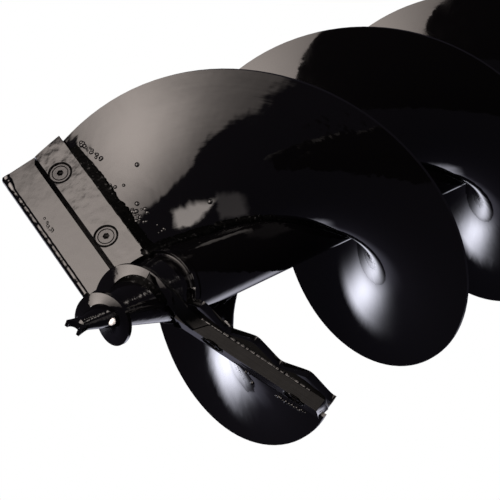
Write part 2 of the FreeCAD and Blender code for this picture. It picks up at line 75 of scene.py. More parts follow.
def surface_of(*names):
    """Ray-castable surface of some CAD nodes."""
    points = []
    faces = []
    for name in names:
        mesh = nodes[name].data
        first = len(points)
        points.extend(vertex.co.copy() for vertex in mesh.vertices)
        faces.extend([first + index for index in face.vertices] for face in mesh.polygons)
    return BVHTree.FromPolygons(points, faces)


def bar_frame(name):
    """Axes of a clamp bar: X outward along it, Y to its leading side, Z out of its top face.

    The origin is on the top face's leading edge, where the bar's line passes the tube's axis.
    """
    mesh = nodes[name].data
    areas = {}
    for face in mesh.polygons:
        key = tuple(round(part, 2) for part in face.normal)
        areas[key] = areas.get(key, 0.0) + face.area
    largest = sorted(areas, key=areas.get, reverse=True)
    up = next(Vector(key) for key in largest if key[0] < 0).normalized()
    leading = next(Vector(key) for key in largest[2:] if key[0] < 0 and Vector(key).dot(up) > 0.1)
    along = leading.cross(up).normalized()
    lead = up.cross(along)
    points = [vertex.co for vertex in mesh.vertices]
    top = max(point.dot(up) for point in points)
    edge = max(point.dot(lead) for point in points if point.dot(up) > top - 0.2 * MM)
    base = top * up + edge * lead
    across = Vector((0, along.y, along.z))
    base -= along * (base.dot(across) / across.length_squared)
    return Matrix.Translation(base) @ Matrix((along, lead, up)).transposed().to_4x4()


BARS = {"a": bar_frame("clamp_bar_a"), "b": bar_frame("clamp_bar_b")}
FLIGHTS = {"a": surface_of("flight_a"), "b": surface_of("flight_b")}
FLIGHT_TURN = {"a": 0, "b": 180}


def around(x, radius, angle):
    """Point at a row position, radius and angle; angles run clockwise from the top, tip view."""
    turn = math.radians(angle)
    return Vector((x, -radius * math.sin(turn), radius * math.cos(turn)))


# ---------------------------------------------------------------- mesh helpers


def rough(point, scale, seed=0.0):
    """Smooth noise between about -1 and 1 with bumps about one scale apart."""
    return noise.noise(point / scale + Vector((seed, 7.3 * seed, 1.9 * seed)))


def smoothstep(value, low, high):
    """Smooth rise from 0 at low to 1 at high."""
    share = min(1.0, max(0.0, (value - low) / (high - low)))
    return share * share * (3 - 2 * share)


def add_piece(name, points, faces, material, slot="black_enamel", body=BIT, smooth=True):
    """A new mesh piece that rides on a body."""
    mesh = bpy.data.meshes.new(name)
    mesh.from_pydata([tuple(point) for point in points], [], faces)
    mesh.polygons.foreach_set("use_smooth", [smooth] * len(mesh.polygons))
    mesh.materials.append(material)
    mesh.validate()
    piece = bpy.data.objects.new(name, mesh)
    bpy.context.scene.collection.objects.link(piece)
    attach(piece, body)
    return piece


def loft(sections, ring=False):
    """Points and faces of a closed skin through equal loops of points; a ring joins its ends."""
    count = len(sections[0])
    points = [point for section in sections for point in section]
    faces = []
    last = len(sections) if ring else len(sections) - 1
    for row in range(last):
        here = row * count
        there = (row + 1) % len(sections) * count
        for column in range(count):
            step = (column + 1) % count
            faces.append((here + column, here + step, there + step, there + column))
    if not ring:
        faces.append(tuple(reversed(range(count))))
        end = (len(sections) - 1) * count
        faces.append(tuple(range(end, end + count)))
    return points, faces


def joined(parts):
    """Several point-and-face sets as one."""
    points = []
    faces = []
    for part_points, part_faces in parts:
        first = len(points)
        points.extend(part_points)
        faces.extend(tuple(first + index for index in face) for face in part_faces)
    return points, faces


def weld_bead(path, outward, radius_at, ripple, seed, ring=False, sides=10):
    """Closed rippled bead along a path; outward gives the free side at each point."""
    sections = []
    travelled = 0.0
    for index, point in enumerate(path):
        before = path[index - 1] if index or ring else point
        after = path[(index + 1) % len(path)] if index + 1 < len(path) or ring else point
        tangent = (after - before).normalized()
        free = outward[index]
        free = (free - free.dot(tangent) * tangent).normalized()
        side = tangent.cross(free)
        travelled += (point - before).length
        share = travelled / ripple
        scallop = 0.82 + 0.18 * abs(math.sin(math.pi * share))
        section = []
        for corner in range(sides):
            turn = 2 * math.pi * corner / sides
            spoke = math.cos(turn) * free + math.sin(turn) * side
            radius = radius_at(index / max(1, len(path) - 1)) * scallop
            place = point + radius * spoke
            radius *= 1 + 0.16 * rough(place, 4 * MM, seed) + 0.10 * rough(place, 1.6 * MM, seed)
            lean = 0.25 * ripple * math.cos(turn) * tangent
            section.append(point + radius * spoke - lean)
        sections.append(section)
    return loft(sections, ring)


# ---------------------------------------------------------------- shader graph helper


class Graph:
    """Adds nodes to one shader tree; an input is either a value or another node's socket."""

    def __init__(self, tree):
        self.tree = tree
        tree.nodes.clear()

    def node(self, kind, inputs=None, **settings):
        made = self.tree.nodes.new("ShaderNode" + kind)
        for name, value in settings.items():
            setattr(made, name, value)
        for name, value in (inputs or {}).items():
            if isinstance(value, bpy.types.NodeSocket):
                self.tree.links.new(value, made.inputs[name])
            else:
                made.inputs[name].default_value = value
        return made

    def math(self, operation, first, second=0.0):
        return self.node("Math", {0: first, 1: second}, operation=operation).outputs[0]

    def dot(self, first, second):
        made = self.node("VectorMath", {0: first, 1: second}, operation="DOT_PRODUCT")
        return made.outputs["Value"]

    def scaled(self, vector, strength):
        made = self.node("VectorMath", {0: vector, "Scale": strength}, operation="SCALE")
        return made.outputs[0]

    def ramp(self, value, low, high, start=0.0, end=1.0):
        """Smooth change from start to end as value goes from low to high."""
        made = self.node("MapRange", {0: value, 1: low, 2: high, 3: start, 4: end},
                         interpolation_type="SMOOTHSTEP")
        return made.outputs[0]

    def noise(self, place, scale, detail=2.0):
        """Smooth noise; the scale is bumps to the metre."""
        return self.node("TexNoise", {"Vector": place, "Scale": scale, "Detail": detail}).outputs[0]

    def bump(self, height, distance, normal=None):
        inputs = {"Height": height, "Distance": distance, "Strength": 1.0}
        if normal is not None:
            inputs["Normal"] = normal
        return self.node("Bump", inputs).outputs[0]


# ---------------------------------------------------------------- camera and stage


def direction(azimuth, elevation):
    """Unit vector at an azimuth from +X towards +Y and an elevation, both in degrees."""
    turn = math.radians(azimuth)
    rise = math.radians(elevation)
    return Vector((math.cos(turn) * math.cos(rise), math.sin(turn) * math.cos(rise), math.sin(rise)))


def add_camera():
    """Camera ahead of the pilot and to its side, looking 17 degrees down at the first flights."""
    heading = 33.68
    pitch_down = 17.42
    forward = direction(heading, -pitch_down)
    right = direction(heading - 90, 0)
    up = right.cross(forward)
    between_blades = Vector((-4.0833 * FLIGHT_RADIUS, 0, 0))
    aim = between_blades + FLIGHT_RADIUS * (0.1372 * right + 0.0543 * up)
    distance = 9.6467 * FLIGHT_RADIUS
    camera = bpy.data.cameras.new("camera")
    camera.sensor_width = 36
    camera.lens = 133.16
    camera.clip_end = 200
    holder = bpy.data.objects.new("camera", camera)
    bpy.context.scene.collection.objects.link(holder)
    axes = Matrix((right, up, -forward)).transposed()
    holder.matrix_world = Matrix.Translation(aim - distance * forward) @ axes.to_4x4()
    bpy.context.scene.camera = holder


def add_floor():
    """Plain white floor, lit flat so that it reads as an even studio white."""
    half = 30.0
    mesh = bpy.data.meshes.new("floor")
    corners = [(-half, -half, 0), (half, -half, 0), (half, half, 0), (-half, half, 0)]
    mesh.from_pydata(corners, [], [(0, 1, 2, 3)])
    floor = bpy.data.objects.new("floor", mesh)
    floor.location.z = cad_low.z - 0.5 * MM
    bpy.context.scene.collection.objects.link(floor)
    material = bpy.data.materials.new("studio_floor")
    material.use_nodes = True
    graph = Graph(material.node_tree)
    glow = graph.node("Emission", {"Color": (1, 1, 1, 1), "Strength": 1.0})
    graph.node("OutputMaterial", {"Surface": glow.outputs[0]})
    mesh.materials.append(material)
    floor.visible_glossy = False
    floor.visible_diffuse = False


MAIN_LIGHT_CENTRE = direction(180, 30)


def disc_light(graph, ray, azimuth, elevation, radius, softness):
    """How far a ray falls inside a round light, 0 to 1."""
    facing = graph.dot(ray, direction(azimuth, elevation))
    outer = math.cos(math.radians(radius + softness))
    inner = math.cos(math.radians(radius - softness))
    return graph.ramp(facing, outer, inner)


def band(graph, angle, low, high, soft_low, soft_high):
    """1 where an angle lies between two limits in degrees, with soft edges."""
    start = graph.ramp(angle, math.radians(low - soft_low), math.radians(low + soft_low))
    end = graph.ramp(angle, math.radians(high - soft_high), math.radians(high + soft_high), 1.0, 0.0)
    return graph.math("MULTIPLY", start, end)


def tilted(graph, rise, turn, slope, pivot):
    """Elevation measured from a line that passes level at the pivot azimuth and then slopes."""
    past = graph.math("SUBTRACT", turn, math.radians(pivot))
    return graph.math("SUBTRACT", rise, graph.math("MULTIPLY", past, slope))


def straight_edge(graph, ray, first, second):
    """1 on the main light's side of the straight edge through two (azimuth, elevation) corners."""
    across = direction(*first).cross(direction(*second)).normalized()
    if across.dot(MAIN_LIGHT_CENTRE) < 0:
        across = -across
    return graph.ramp(graph.dot(ray, across), -0.035, 0.03)


def main_light(graph, ray, turn, rise):
    """Round soft light, brightest above its middle, cut straight at both sides."""
    disc = disc_light(graph, ray, -179, 29, 55, 2)
    brightest = direction(180, 38)
    falloff = 4.2
    off_centre = graph.math("SUBTRACT", graph.dot(ray, brightest), 1.0)
    glow = graph.math("EXPONENT", graph.math("MULTIPLY", off_centre, falloff))
    flap = graph.math("MULTIPLY", band(graph, turn, 138.5, 165, 1, 2), band(graph, rise, 30, 39, 1.5, 2))
    left_side = graph.math("MAXIMUM", straight_edge(graph, ray, (149, 0), (145, 40)), flap)
    right_side = straight_edge(graph, ray, (-157, -22), (-117, 26))
    shape = graph.math("MULTIPLY", graph.math("MULTIPLY", disc, left_side), right_side)
    return graph.math("MULTIPLY", shape, glow)


def window_light(graph, turn, rise):
    """Window with a sloping sill."""
    sill = tilted(graph, rise, turn, 1.1, -80)
    panes = graph.math("MULTIPLY", band(graph, turn, -84, -62, 4, 2), band(graph, rise, 0, 48, 1, 3))
    return graph.math("MULTIPLY", panes, band(graph, sill, 14, 90, 3, 1))


def backdrop_light(graph, turn, rise):
    """Lit strip of backdrop that slopes and fades away from its bright end."""
    middle = -16.5
    spread = 4.8
    height = tilted(graph, rise, turn, 0.3, 80)
    off_middle = graph.math("SUBTRACT", height, math.radians(middle))
    off_middle = graph.math("DIVIDE", off_middle, math.radians(spread))
    across = graph.math("EXPONENT", graph.math("MULTIPLY", graph.math("POWER", off_middle, 2.0), -0.5))
    return graph.math("MULTIPLY", band(graph, turn, 67, 90, 17, 4), across)


def add_studio_light():
    """A big warm soft light by the pilot, a small window at the right and a cool lit backdrop."""
    world = bpy.data.worlds.new("studio")
    world.use_nodes = True
    bpy.context.scene.world = world
    graph = Graph(world.node_tree)
    ray = graph.node("TexCoord").outputs["Generated"]
    parts = graph.node("SeparateXYZ", {0: ray})
    turn = graph.math("ARCTAN2", parts.outputs["Y"], parts.outputs["X"])
    rise = graph.math("ARCSINE", parts.outputs["Z"])

    def patch(sideways, upward):
        return graph.math("MULTIPLY", band(graph, turn, *sideways), band(graph, rise, *upward))

    lights = (
        ((1.0, 0.88, 0.81), 8.4, main_light(graph, ray, turn, rise)),
        ((1.0, 0.90, 0.84), 5.0, window_light(graph, turn, rise)),
        ((1.0, 0.90, 0.88), 0.5, patch((-90, -66, 4, 3), (-20, 8, 6, 2))),
        ((0.86, 0.87, 1.0), 8.4, backdrop_light(graph, turn, rise)),
        ((0.86, 0.86, 1.0), 1.2, patch((-4, 32, 12, 6), (-62, -34, 6, 4))),
        ((0.80, 0.80, 1.0), 0.14, patch((20, 62, 10, 10), (-45, -27, 6, 6))),
    )
    total = Vector((0.035, 0.032, 0.045))
    for colour, strength, shape in lights:
        glow = graph.scaled(colour, graph.math("MULTIPLY", shape, strength))
        total = graph.node("VectorMath", {0: glow, 1: total}, operation="ADD").outputs[0]
    lit = graph.node("Background", {"Color": total, "Strength": 1.0})
    plain = graph.node("Background", {"Color": (1, 1, 1, 1), "Strength": 1.0})
    seen = graph.node("LightPath").outputs["Is Camera Ray"]
    mixed = graph.node("MixShader", {0: seen, 1: lit.outputs[0], 2: plain.outputs[0]})
    graph.node("OutputWorld", {"Surface": mixed.outputs[0]})


# ---------------------------------------------------------------- materials


def new_material(name):
    material = bpy.data.materials.new(name)
    material.use_nodes = True
    return material, Graph(material.node_tree)


ENAMEL_COLOUR = (0.0011, 0.0010, 0.0012, 1)
THIN_ENAMEL_COLOUR = (0.004, 0.0038, 0.004, 1)
# A black a little darker than the enamel, for the bars and welds; on the welds it adds to their painted
# shade.
DULL_BLACK = (0.0006, 0.0006, 0.0006, 1)


def coat(graph, colour, roughness, normal, shine=0.5):
    """Finish a material as a coat of enamel."""
    paint = graph.node("BsdfPrincipled", {
        "Base Color": colour, "Roughness": roughness, "IOR": 1.5,
        "Specular IOR Level": shine, "Normal": normal})
    graph.node("OutputMaterial", {"Surface": paint.outputs[0]})


def orange_peel(graph, place, depth):
    """Fine even waviness of sprayed enamel."""
    return graph.bump(graph.noise(place, 300.0), depth)


def sheet_enamel():
    """Gloss enamel on formed sheet: orange peel, pressing ripples round the axis, slow waves."""
    material, graph = new_material("gloss_black_enamel")
    place = graph.node("TexCoord").outputs["Object"]
    parts = graph.node("SeparateXYZ", {0: place})
    turn = graph.math("ARCTAN2", parts.outputs["Y"], parts.outputs["Z"])
    height_squared = graph.math("POWER", parts.outputs["Z"], 2.0)
    side_squared = graph.math("POWER", parts.outputs["Y"], 2.0)
    radius = graph.math("SQRT", graph.math("ADD", height_squared, side_squared))
    rings_per_metre = 260.0
    rolled = graph.node("CombineXYZ", {0: graph.math("MULTIPLY", radius, rings_per_metre), 1: turn})
    ripples = graph.noise(rolled.outputs[0], 1.0, 3.0)
    waves = graph.noise(place, 26.0, 3.0)
    normal = orange_peel(graph, place, 0.006 * MM)
    front = graph.ramp(parts.outputs["X"], 0.93 * FLIGHT_CROSSING, 0.84 * FLIGHT_CROSSING)
    low = graph.ramp(parts.outputs["Z"], 0.0, -0.2 * FLIGHT_RADIUS)
    hammered = graph.ramp(graph.math("MAXIMUM", front, low), 0.0, 1.0, 1.0, 0.10)
    normal = graph.bump(ripples, graph.math("MULTIPLY", hammered, 0.030 * MM), normal)
    normal = graph.bump(waves, graph.math("MULTIPLY", hammered, 0.60 * MM), normal)
    dull = graph.ramp(graph.noise(place, 60.0, 4.0), 0.35, 0.75, 0.03, 0.075)
    coat(graph, ENAMEL_COLOUR, dull, normal)
    return material


def forged_enamel():
    """Gloss enamel run over forged and turned steel, with soft flow marks and orange peel."""
    material, graph = new_material("gloss_enamel_on_forging")
    place = graph.node("TexCoord").outputs["Object"]
    flow = graph.noise(place, 90.0, 4.0)
    normal = orange_peel(graph, place, 0.01 * MM)
    normal = graph.bump(flow, 0.35 * MM, normal)
    dull = graph.ramp(flow, 0.3, 0.75, 0.04, 0.12)
    coat(graph, ENAMEL_COLOUR, dull, normal)
    return material


def bar_enamel(name, bar, evenness):
    """Enamel over a sawn bar: grained broad faces, and drag lines along its side faces, whose reflection
    is cut down as painted shade.
    """
    material, graph = new_material(name)
    place = graph.node("TexCoord").outputs["Object"]
    axes = bar.to_3x3().transposed()
    along, lead, up = (Vector(row) for row in axes)
    here = [graph.dot(place, axis) for axis in (along, lead, up)]
    facing = graph.dot(graph.node("NewGeometry").outputs["True Normal"], lead)
    side = graph.ramp(graph.math("ABSOLUTE", facing), 0.7, 0.9)
    lines_per_metre = (25.0, 700.0, 1500.0)
    drag = graph.node("CombineXYZ", {
        index: graph.math("MULTIPLY", here[index], rate) for index, rate in enumerate(lines_per_metre)})
    lines = graph.noise(drag.outputs[0], 1.0, 4.0)
    grain = graph.noise(place, 420.0, 3.0)
    mottle = graph.noise(place, 48.0, 2.5)
    normal = graph.bump(grain, 0.020 * MM / evenness)
    normal = graph.bump(mottle, 0.42 * MM / evenness, normal)
    line_depth = graph.ramp(side, 0.0, 1.0, 0.004 * MM, 0.10 * MM)
    normal = graph.bump(lines, line_depth, normal)
    dull = graph.ramp(side, 0.0, 1.0, 0.07, 0.10)
    # Side faces reflect far less than the broad faces: painted shade on the sides.
    shine = graph.ramp(side, 0.0, 1.0, 0.68, 0.08)
    coat(graph, DULL_BLACK, dull, normal, shine)
    return material


def fastener_enamel():
    """Thinner enamel on the screws and nuts, a little duller, with fine turning marks."""
    material, graph = new_material("enamel_on_fasteners")
    place = graph.node("TexCoord").outputs["Object"]
    grain = graph.noise(place, 700.0, 3.0)
    normal = graph.bump(grain, 0.02 * MM)
    dull = graph.ramp(graph.noise(place, 120.0, 3.0), 0.3, 0.7, 0.09, 0.17)
    coat(graph, THIN_ENAMEL_COLOUR, dull, normal, 0.58)
    return material


def weld_enamel():
    """Thick gloss enamel over welds and spatter, with a lumpy skin."""
    material, graph = new_material("enamel_over_weld")
    place = graph.node("TexCoord").outputs["Object"]
    lumps = graph.noise(place, 450.0, 3.0)
    normal = graph.bump(lumps, 0.06 * MM)
    dull = graph.ramp(lumps, 0.3, 0.7, 0.04, 0.12)
    coat(graph, ENAMEL_COLOUR, dull, normal)
    return material


def weld_and_shade_enamel():
    """Enamel over rough weld, nearly black: its reflection is cut to almost nothing as painted shade,
    except at random spots.
    """
    material, graph = new_material("weld_enamel_with_painted_shade")
    place = graph.node("TexCoord").outputs["Object"]
    lumps = graph.noise(place, 520.0, 4.0)
    normal = graph.bump(lumps, 0.25 * MM)
    dull = graph.ramp(lumps, 0.3, 0.7, 0.22, 0.42)
    # Painted shade: reflection cut to almost nothing, with random spots that keep some.
    shine = graph.ramp(graph.noise(place, 330.0, 3.0), 0.58, 0.78, 0.015, 0.4)
    coat(graph, DULL_BLACK, dull, normal, shine)
    return material


def pilot_flight_enamel():
    """Gloss enamel on the pilot flight, its shading normals leaned outward so that its face shades like a
    dished cone.
    """
    material, graph = new_material("gloss_enamel_on_pilot_flight")
    place = graph.node("TexCoord").outputs["Object"]
    parts = graph.node("SeparateXYZ", {0: place})
    radial = graph.node("CombineXYZ", {1: parts.outputs["Y"], 2: parts.outputs["Z"]}).outputs[0]
    radial = graph.node("VectorMath", {0: radial}, operation="NORMALIZE").outputs[0]
    surface = graph.node("NewGeometry").outputs["Normal"]
    forward = graph.dot(surface, Vector((-1, 0, 0)))
    dish = graph.scaled(radial, graph.ramp(forward, 0.4, 0.8, 0.0, 0.45))
    leaning = graph.node("VectorMath", {0: surface, 1: dish}, operation="ADD").outputs[0]
    leaning = graph.node("VectorMath", {0: leaning}, operation="NORMALIZE").outputs[0]
    normal = graph.bump(graph.noise(place, 110.0, 3.0), 0.25 * MM, leaning)
    dull = graph.ramp(graph.noise(place, 90.0, 4.0), 0.3, 0.75, 0.04, 0.10)
    coat(graph, ENAMEL_COLOUR, dull, normal)
    return material


def bright_zinc():
    """Bright zinc plate: faint turning lines, cloudy tone and a little dullness."""
    material, graph = new_material("bright_zinc_plate")
    place = graph.node("TexCoord").outputs["Object"]
    cloud = graph.noise(place, 160.0, 4.0)
    lines = graph.noise(graph.node("Mapping", {0: place, 3: (300, 300, 4000)}).outputs[0], 1.0, 2.0)
    tone = graph.node("Mix", {0: cloud, 6: (0.50, 0.50, 0.48, 1), 7: (0.72, 0.72, 0.71, 1)},
                      data_type="RGBA")
    metal = graph.node("BsdfPrincipled", {
        "Base Color": tone.outputs[2], "Metallic": 1.0,
        "Roughness": graph.ramp(cloud, 0.3, 0.7, 0.18, 0.34),
        "Normal": graph.bump(lines, 0.01 * MM)})
    graph.node("OutputMaterial", {"Surface": metal.outputs[0]})
    return material


def bare_steel_and_highlight():
    """Bare steel where the enamel is missing, with a near-white colour that is partly a painted highlight.
    """
    material, graph = new_material("bare_steel_painted_highlight")
    place = graph.node("TexCoord").outputs["Object"]
    cloud = graph.noise(place, 500.0, 3.0)
    # Near-white and only partly metallic, so the drop shows white: painted highlight.
    metal = graph.node("BsdfPrincipled", {
        "Base Color": (0.97, 0.96, 0.95, 1), "Metallic": 0.35,
        "Roughness": graph.ramp(cloud, 0.3, 0.7, 0.50, 0.62),
        "Normal": graph.bump(cloud, 0.05 * MM)})
    graph.node("OutputMaterial", {"Surface": metal.outputs[0]})
    return material


SHEET = sheet_enamel()
FORGED = forged_enamel()
FASTENER = fastener_enamel()
WELD = weld_enamel()
PILOT_FLIGHT = pilot_flight_enamel()
ZINC = bright_zinc()
STEEL_AND_HIGHLIGHT = bare_steel_and_highlight()
WELD_AND_SHADE_ENAMEL = weld_and_shade_enamel()
BAR_ENAMEL = {}
BLADE_ENAMEL = {}
for bar_letter, bar_axes in BARS.items():
    BAR_ENAMEL[bar_letter] = bar_enamel("enamel_on_bar_" + bar_letter, bar_axes, 1.0)
    BLADE_ENAMEL[bar_letter] = bar_enamel("enamel_on_blade_" + bar_letter, bar_axes, 3.5)


def dress_cad_nodes():
    """Give every CAD node its finish."""
    finishes = {
        "centre_tube": SHEET, "flight_a": SHEET, "flight_b": SHEET,
        "pilot_point": FORGED, "pilot_flight": PILOT_FLIGHT, "pilot_weld": WELD,
        "clamp_bar_a": BAR_ENAMEL["a"], "straight_blade": BLADE_ENAMEL["a"],
        "clamp_bar_b": BAR_ENAMEL["b"], "toothed_blade": BLADE_ENAMEL["b"],
        "blade_screws": FASTENER, "blade_nuts": FASTENER,
        "drive_coupler": FORGED, "coupler_weld": WELD,
        "drive_pin": ZINC, "hairpin_clip": ZINC,
    }
    for name, material in finishes.items():
        nodes[name].data.materials.clear()
        nodes[name].data.materials.append(material)


# ---------------------------------------------------------------- welds


def flight_station(letter, angle):
    """Row position of a flight's centre at an angle, away from its drawn-forward front edge."""
    return FLIGHT_CROSSING + FLIGHT_PITCH * (angle - FLIGHT_TURN[letter]) / 360


def flight_face(letter, radius, angle, side):
    """Point on a flight's front (side -1) or rear (side 1) face, or None off its ends."""
    reach = 0.2 * FLIGHT_PITCH
    start = around(flight_station(letter, angle) + side * reach, radius, angle)
    hit = FLIGHTS[letter].ray_cast(start, Vector((-side, 0, 0)), 1.2 * reach)
    return hit[0]


def root_bead_radius(share, heavy_share):
    """Radius of a root bead: heavy up to one share of its length, then light."""
    light = 1.9 * MM
    extra = 3.6 * MM
    fade = smoothstep(share, 0.85 * heavy_share, heavy_share)
    return light + extra * (1 - fade)


def root_welds():
    """Rippled beads where the flights stand on the tube, heavy by the blades, light after."""
    beads = []
    ripple = 5 * MM
    step = 1.2
    for seed, (letter, turn) in enumerate(FLIGHT_TURN.items()):
        first_angle = turn - 38
        heavy_until = turn + 2
        last_angle = turn + 360 * (FLIGHT_END - 8 * MM - FLIGHT_CROSSING) / FLIGHT_PITCH
        heavy_share = (heavy_until - first_angle) / (last_angle - first_angle)
        for side in (-1, 1):
            path = []
            outward = []
            angle = first_angle
            while angle < last_angle:
                foot = flight_face(letter, TUBE_RADIUS + 2 * MM, angle, side)
                if foot is not None:
                    path.append(around(foot.x + 0.6 * side * MM, TUBE_RADIUS + 0.4 * MM, angle))
                    outward.append(around(0, 1, angle) + Vector((side, 0, 0)))
                angle += step

            def radius_at(share, heavy_share=heavy_share):
                return root_bead_radius(share, heavy_share)

            beads.append(weld_bead(path, outward, radius_at, ripple, 10 * seed + side))
    # Near-black enamel with painted shade in the joint.
    add_piece("root_welds", *joined(beads), WELD_AND_SHADE_ENAMEL)


def bar_weld(letter, reach_out):
    """Thick crumbly fillet from a bar's trailing top edge down to its flight."""
    bar = BARS[letter]
    row_to_local = bar.inverted()
    down = bar.to_3x3() @ Vector((0, 0, -1))
    inner = 33 * MM
    rows = 260
    columns = 8
    foot_height = 0.7 * MM
    sections = []
    for row in range(rows + 1):
        x = inner + (reach_out - inner) * row / rows
        marker = Vector((x, 0, 0))
        width = (9.4 + 1.2 * rough(marker, 8 * MM, 3) + 1.1 * rough(marker, 2.6 * MM, 5)) * MM
        top_edge = -BAR_WIDTH + (0.1 + 0.5 * rough(marker, 5 * MM, 8)) * MM
        foot_point = bar @ Vector((x, top_edge - width, 25 * MM))
        hit = FLIGHTS[letter].ray_cast(foot_point, down, 70 * MM)[0]
        ground = (row_to_local @ hit).z if hit is not None else -4 * MM
        ground = min(ground, -1.5 * MM)
        section = []
        for column in range(columns):
            share = column / (columns - 1)
            spot = Vector((x, top_edge - share * width, 0))
            lump = (0.12 * rough(spot, 4 * MM, 1) + 0.05 * rough(spot, 1.5 * MM, 2)) * MM
            z = 0.1 * MM + (ground + foot_height) * share + lump * math.sin(math.pi * share)
            section.append(bar @ Vector((x, spot.y, z)))
        section.append(bar @ Vector((x, top_edge - width - 0.5 * MM, ground - 0.8 * MM)))
        section.append(bar @ Vector((x, top_edge - width + 1.5 * MM, ground - 2.0 * MM)))
        section.append(bar @ Vector((x, top_edge + 0.8 * MM, -2.0 * MM)))
        sections.append(section)
    # Near-black enamel with painted shade in the joint.
    add_piece(f"bar_weld_{letter}", *loft(sections), WELD_AND_SHADE_ENAMEL)


def dome(centre, normal, radius, height, seed, rings=4, sides=12):
    """Closed low dome standing on a surface, slightly uneven, for a spatter bead."""
    across = normal.orthogonal().normalized()
    other = normal.cross(across)
    sections = []
    for ring in range(rings + 2):
        if ring == 0:
            spread, lift = 1.0, -0.5
        else:
            bend = math.pi / 2 * (ring - 1) / rings
            spread, lift = max(0.06, math.cos(bend)), math.sin(bend)
        section = []
        for side in range(sides):
            turn = 2 * math.pi * side / sides
            spoke = math.cos(turn) * across + math.sin(turn) * other
            wobble = 1 + 0.12 * rough(centre + radius * spoke, 2 * MM, seed)
            section.append(centre + radius * spread * wobble * spoke + height * lift * normal)
        sections.append(section)
    return loft(sections)


def flight_spot(letter, along, behind):
    """Point and normal on a flight's front face, from a place along its bar and behind it."""
    bar = BARS[letter]
    above = bar @ Vector((along, -BAR_WIDTH - behind, 30 * MM))
    down = bar.to_3x3() @ Vector((0, 0, -1))
    hit, normal, _, _ = FLIGHTS[letter].ray_cast(above, down, 90 * MM)
    if hit is None:
        return None, None
    return hit, normal if normal.dot(down) < 0 else -normal


def spatter():
    """Weld spatter beads under the enamel, thickest beside the blade welds."""
    beads = []
    draw = random.Random(5)
    lone_spots = ((102, 35, 2.0), (97, 11.5, 1.6), (94, 17.5, 1.4), (101, 9.5, 1.2),
                  (75, 17.5, 2.0), (57, 67, 2.2))
    clusters = (((66, 13), 6.5, 15, 2.0), ((60, 11), 5.0, 5, 1.6), ((46, 24), 6.0, 5, 1.4))
    for letter in BARS:
        spots = [(along, behind, radius) for along, behind, radius in lone_spots]
        for (along, behind), spread, count, largest in clusters:
            for _ in range(count):
                spots.append((along + draw.gauss(0, spread / 2), behind + draw.gauss(0, spread / 2),
                              largest * draw.uniform(0.45, 1.0)))
        for step in range(18):
            along = 148 - 1.45 * step + draw.uniform(-1, 1)
            behind = 10.5 + 0.25 * step + draw.uniform(-1.4, 1.4)
            spots.append((along, behind, draw.uniform(0.9, 2.0)))
        for along, behind, radius in spots:
            place, normal = flight_spot(letter, along * MM, behind * MM)
            if place is not None:
                beads.append(dome(place, normal, radius * MM, 0.8 * radius * MM, radius))
    add_piece("spatter", *joined(beads), WELD)


def seam_radius(share):
    """Uneven radius of the seam line."""
    lumps = 60
    return (0.75 + 0.35 * rough(Vector((share * lumps, 0, 0)), 1.0, 6)) * MM


def seam_weld(letter, last):
    """Lumpy line of weld and paint where a bar's leading side meets its blade."""
    bar = BARS[letter]
    path = []
    outward = []
    x = 38 * MM
    while x < last:
        marker = Vector((x, 0, 0))
        y = (3.5 + 0.5 * rough(marker, 3 * MM, 4)) * MM
        path.append(bar @ Vector((x, y, -BAR_THICKNESS + 0.1 * MM)))
        outward.append(bar.to_3x3() @ Vector((0, 1, 1)))
        x += 0.7 * MM
    add_piece(f"seam_weld_{letter}", *weld_bead(path, outward, seam_radius, 2.6 * MM, 12), WELD)


# ---------------------------------------------------------------- pilot


def cone_radius(x):
    """Radius of the pilot cone at a row position."""
    small = 4.2 * MM
    large = 24.7 * MM
    start = PILOT_TIP + 8 * MM
    end = PILOT_TIP + 99.5 * MM
    share = min(1.0, max(0.0, (x - start) / (end - start)))
    return small + (large - small) * share


def pilot_flight_turns(angle):
    """Turns of the pilot flight up to an angle in its last turn."""
    start_angle = -100
    return 1 + (angle - start_angle) / 360


def pilot_flight_x(angle):
    """Row position of the pilot flight's front face, at an angle in its last turn."""
    turns = pilot_flight_turns(angle)
    return PILOT_TIP + (23 + 24 * turns + 9 * turns ** 2) * MM


def pilot_flight_slope(angle):
    """Advance of the pilot flight per radian, in its last turn."""
    return (24 + 18 * pilot_flight_turns(angle)) * MM / (2 * math.pi)


def hermite(start, start_slope, end, end_slope, share):
    """Point on a curve that leaves and arrives along given directions."""
    reach = (end - start).length
    cube = share ** 3
    square = share ** 2
    place = (2 * cube - 3 * square + 1) * start + (3 * square - 2 * cube) * end
    place += (cube - 2 * square + share) * reach * start_slope.normalized()
    return place + (cube - square) * reach * end_slope.normalized()


